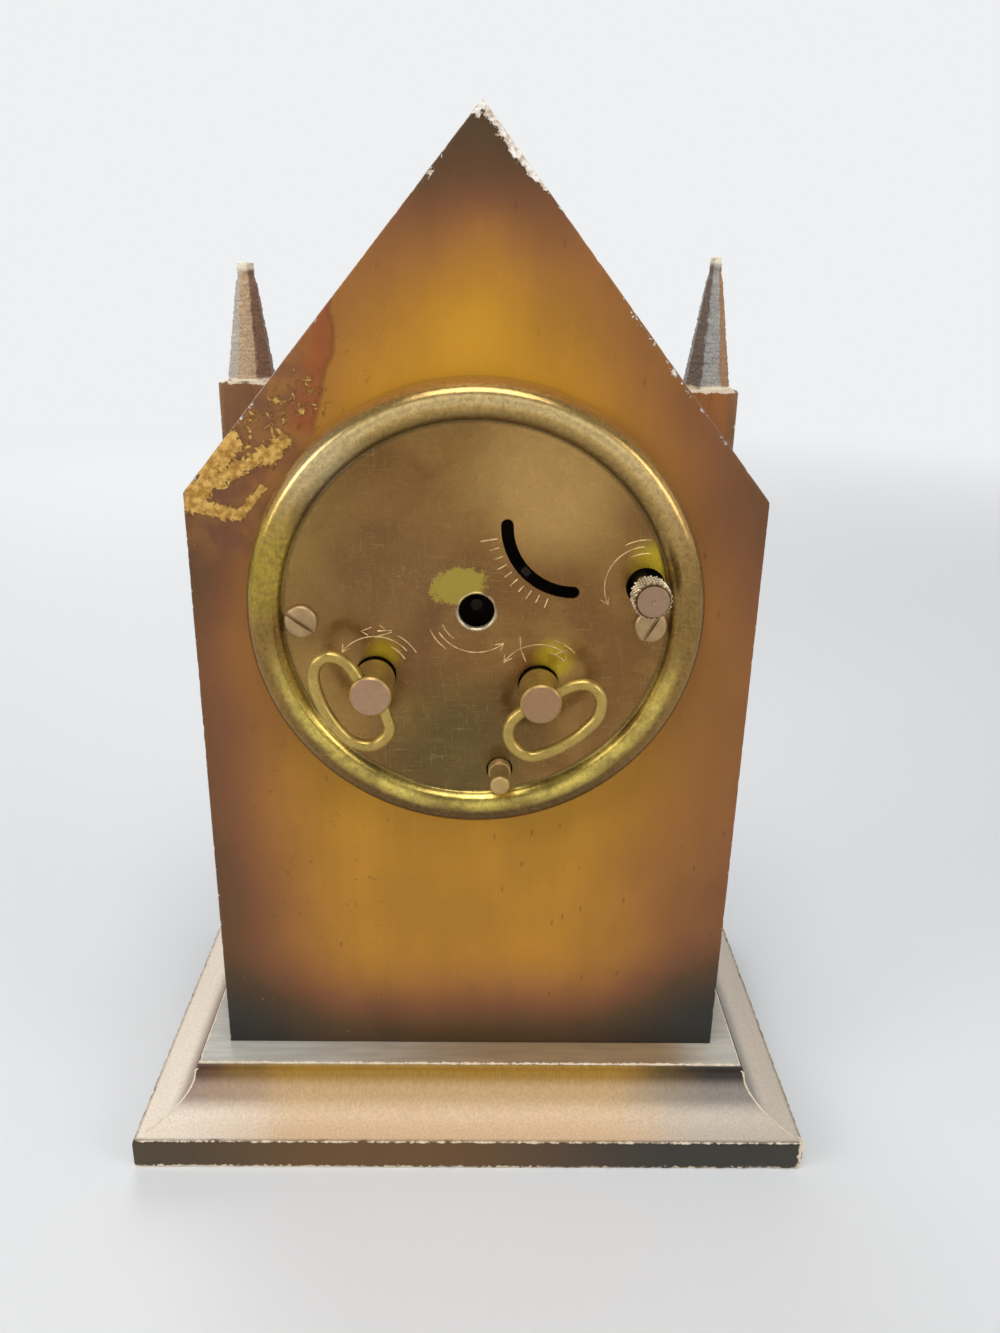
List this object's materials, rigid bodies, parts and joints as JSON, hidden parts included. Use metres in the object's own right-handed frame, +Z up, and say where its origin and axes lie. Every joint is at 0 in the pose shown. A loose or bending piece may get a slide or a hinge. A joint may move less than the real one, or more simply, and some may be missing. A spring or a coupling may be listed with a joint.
{
  "type": "steeple clock",
  "caption": "Small wind-up steeple alarm clock: gabled wooden case on a coved plinth, two spired pillars, and a brass-capped movement with folding keys, setting knob and stop pin.",
  "frame": {"origin": "centre of the plinth's underside, on the surface the clock stands on", "axes": "+Z up, the dial faces -Y, the back cap and keys face +Y"},
  "size_m": [0.1238, 0.0746, 0.1793],
  "materials": {
    "dark_wood": "lacquered, shaded dark",
    "amber_wood": "lacquered, shaded from amber to dark brown",
    "pale_wood": "worn brown paint",
    "brass": "worn polish",
    "dull_brass": "aged and speckled",
    "key_metal": "dull pinkish brown",
    "steel": "plain",
    "blue_steel": "blued",
    "glass": "clear",
    "dial_paint": "satin cream"
  },
  "bodies": {
    "case": {"base_plinth": "dark_wood", "case_block": "amber_wood", "front_panel": "dark_wood", "left_pillar": "dark_wood", "right_pillar": "dark_wood", "left_spire": "pale_wood", "right_spire": "pale_wood", "gable_moulding": "dark_wood", "tablet_moulding": "dark_wood", "base_screws": "steel", "drum_case": "brass", "back_cap": "dull_brass", "cap_screws": "key_metal", "front_bezel": "brass", "glass": "glass", "dial": "dial_paint", "dial_ring": "brass", "back_plate": "brass", "front_plate": "brass", "plate_pillars": "brass", "pillar_nuts": "steel", "balance_screws": "steel", "time_mainspring": "blue_steel", "alarm_mainspring": "blue_steel", "hairspring": "blue_steel"},
    "hand_arbor": {"centre_arbor": "steel", "cannon_pinion": "steel", "minute_hand": "blue_steel"},
    "minute_wheel": {"minute_wheel": "brass"},
    "hour_wheel": {"hour_wheel": "brass", "hour_hand": "blue_steel"},
    "time_great_wheel": {"time_great_wheel": "brass"},
    "time_click": {"time_click": "steel"},
    "intermediate_wheel": {"intermediate_wheel": "brass"},
    "centre_wheel": {"centre_wheel": "brass"},
    "third_wheel": {"third_wheel": "brass"},
    "fourth_wheel": {"fourth_wheel": "brass"},
    "escape_wheel": {"escape_wheel": "brass"},
    "pallet_lever": {"pallet_lever": "steel"},
    "balance_wheel": {"balance_wheel": "brass"},
    "time_winding": {"time_winding_arbor": "steel", "time_key": "key_metal"},
    "time_bow": {"time_key_bow": "brass"},
    "alarm_winding": {"alarm_winding_arbor": "steel", "alarm_key": "key_metal"},
    "alarm_bow": {"alarm_key_bow": "brass"},
    "alarm_great_wheel": {"alarm_great_wheel": "brass"},
    "alarm_click": {"alarm_click": "steel"},
    "alarm_star_wheel": {"alarm_star_wheel": "brass"},
    "alarm_hammer": {"alarm_hammer": "steel"},
    "alarm_setting": {"alarm_set_arbor": "key_metal", "alarm_set_knob": "key_metal"},
    "alarm_wheel": {"alarm_wheel": "brass", "alarm_hand": "blue_steel"},
    "regulator_lever": {"regulator_lever": "steel"},
    "stop_plunger": {"stop_plunger": "key_metal"}
  },
  "joints": [
    {"name": "hand_setting", "type": "hinge", "parent": "case", "child": "hand_arbor", "pos_m": [0, 0.0113, 0.1051], "axis": [0, 1, 0], "continuous": true},
    {"name": "minute_wheel_turn", "type": "hinge", "parent": "case", "child": "minute_wheel", "pos_m": [0, -0.0047, 0.0931], "axis": [0, 1, 0], "continuous": true},
    {"name": "hour_turn", "type": "hinge", "parent": "case", "child": "hour_wheel", "pos_m": [0, -0.0067, 0.1051], "axis": [0, 1, 0], "continuous": true},
    {"name": "fourth_wheel_turn", "type": "hinge", "parent": "case", "child": "fourth_wheel", "pos_m": [0.00334, 0.0073, 0.12378], "axis": [0, 1, 0], "continuous": true},
    {"name": "time_great_wheel_turn", "type": "hinge", "parent": "case", "child": "time_great_wheel", "pos_m": [0.01645, 0.0073, 0.0938], "axis": [0, 1, 0], "continuous": true},
    {"name": "intermediate_wheel_turn", "type": "hinge", "parent": "case", "child": "intermediate_wheel", "pos_m": [0.00145, 0.0073, 0.09394], "axis": [0, 1, 0], "continuous": true},
    {"name": "centre_wheel_turn", "type": "hinge", "parent": "case", "child": "centre_wheel", "pos_m": [0, 0.0033, 0.1051], "axis": [0, 1, 0], "continuous": true},
    {"name": "third_wheel_turn", "type": "hinge", "parent": "case", "child": "third_wheel", "pos_m": [0.00721, 0.0073, 0.1137], "axis": [0, 1, 0], "continuous": true},
    {"name": "escape_wheel_turn", "type": "hinge", "parent": "case", "child": "escape_wheel", "pos_m": [-0.00459, 0.0073, 0.11991], "axis": [0, 1, 0], "continuous": true},
    {"name": "pallet_lever_swing", "type": "hinge", "parent": "case", "child": "pallet_lever", "pos_m": [-0.00791, 0.0073, 0.11516], "axis": [0, 1, 0], "range_deg": [-5, 5]},
    {"name": "balance_swing", "type": "hinge", "parent": "case", "child": "balance_wheel", "pos_m": [-0.0155, 0.0073, 0.1192], "axis": [0, 1, 0], "range_deg": [-150, 150], "stiffness_Nm_per_rad": 0.00001, "deforming": ["hairspring"]},
    {"name": "time_winding", "type": "hinge", "parent": "case", "child": "time_winding", "pos_m": [0.01645, 0.0133, 0.0938], "axis": [0, 1, 0], "continuous": true, "deforming": ["time_mainspring"]},
    {"name": "alarm_winding", "type": "hinge", "parent": "case", "child": "alarm_winding", "pos_m": [-0.01041, 0.0133, 0.09257], "axis": [0, 1, 0], "continuous": true, "deforming": ["alarm_mainspring"]},
    {"name": "time_click_lift", "type": "hinge", "parent": "time_great_wheel", "child": "time_click", "pos_m": [0.01645, 0.0083, 0.1013], "axis": [0, 1, 0], "range_deg": [0, 12]},
    {"name": "alarm_click_lift", "type": "hinge", "parent": "alarm_great_wheel", "child": "alarm_click", "pos_m": [-0.01041, 0.0043, 0.09957], "axis": [0, 1, 0], "range_deg": [0, 12]},
    {"name": "time_bow_fold", "type": "hinge", "parent": "time_winding", "child": "time_bow", "pos_m": [0.01645, 0.0342, 0.0938], "axis": [0.6018, 0, 0.7986], "range_deg": [0, 180]},
    {"name": "alarm_bow_fold", "type": "hinge", "parent": "alarm_winding", "child": "alarm_bow", "pos_m": [-0.01041, 0.0335, 0.09257], "axis": [0.8572, 0, -0.515], "range_deg": [0, 180]},
    {"name": "alarm_great_wheel_turn", "type": "hinge", "parent": "case", "child": "alarm_great_wheel", "pos_m": [-0.01041, 0.0033, 0.09257], "axis": [0, 1, 0], "continuous": true},
    {"name": "alarm_star_wheel_turn", "type": "hinge", "parent": "case", "child": "alarm_star_wheel", "pos_m": [-0.02223, 0.0033, 0.09465], "axis": [0, 1, 0], "continuous": true},
    {"name": "alarm_hammer_swing", "type": "hinge", "parent": "case", "child": "alarm_hammer", "pos_m": [-0.0232, 0.0043, 0.08853], "axis": [0, 1, 0], "range_deg": [-8, 5]},
    {"name": "alarm_setting", "type": "hinge", "parent": "case", "child": "alarm_setting", "pos_m": [-0.02709, 0.0113, 0.10952], "axis": [0, 1, 0], "continuous": true},
    {"name": "alarm_wheel_turn", "type": "hinge", "parent": "case", "child": "alarm_wheel", "pos_m": [0, -0.0087, 0.1051], "axis": [0, 1, 0], "continuous": true},
    {"name": "regulator_shift", "type": "hinge", "parent": "case", "child": "regulator_lever", "pos_m": [-0.0155, 0.0195, 0.1192], "axis": [0, 1, 0], "range_deg": [-38, 38]},
    {"name": "stop_push", "type": "slide", "parent": "case", "child": "stop_plunger", "axis": [0, -1, 0], "range_m": [0, 0.0028]}
  ],
  "couplings": [
    {"joint": "minute_wheel_turn", "follows": "hand_setting", "ratio": -0.33333},
    {"joint": "hour_turn", "follows": "hand_setting", "ratio": 0.083333},
    {"joint": "escape_wheel_turn", "follows": "fourth_wheel_turn", "ratio": -8},
    {"joint": "third_wheel_turn", "follows": "fourth_wheel_turn", "ratio": -0.125},
    {"joint": "centre_wheel_turn", "follows": "fourth_wheel_turn", "ratio": 0.016667},
    {"joint": "intermediate_wheel_turn", "follows": "fourth_wheel_turn", "ratio": -0.0083333},
    {"joint": "time_great_wheel_turn", "follows": "fourth_wheel_turn", "ratio": 0.0020833},
    {"joint": "alarm_star_wheel_turn", "follows": "alarm_great_wheel_turn", "ratio": -5},
    {"joint": "alarm_wheel_turn", "follows": "alarm_setting", "ratio": -0.14286}
  ]
}
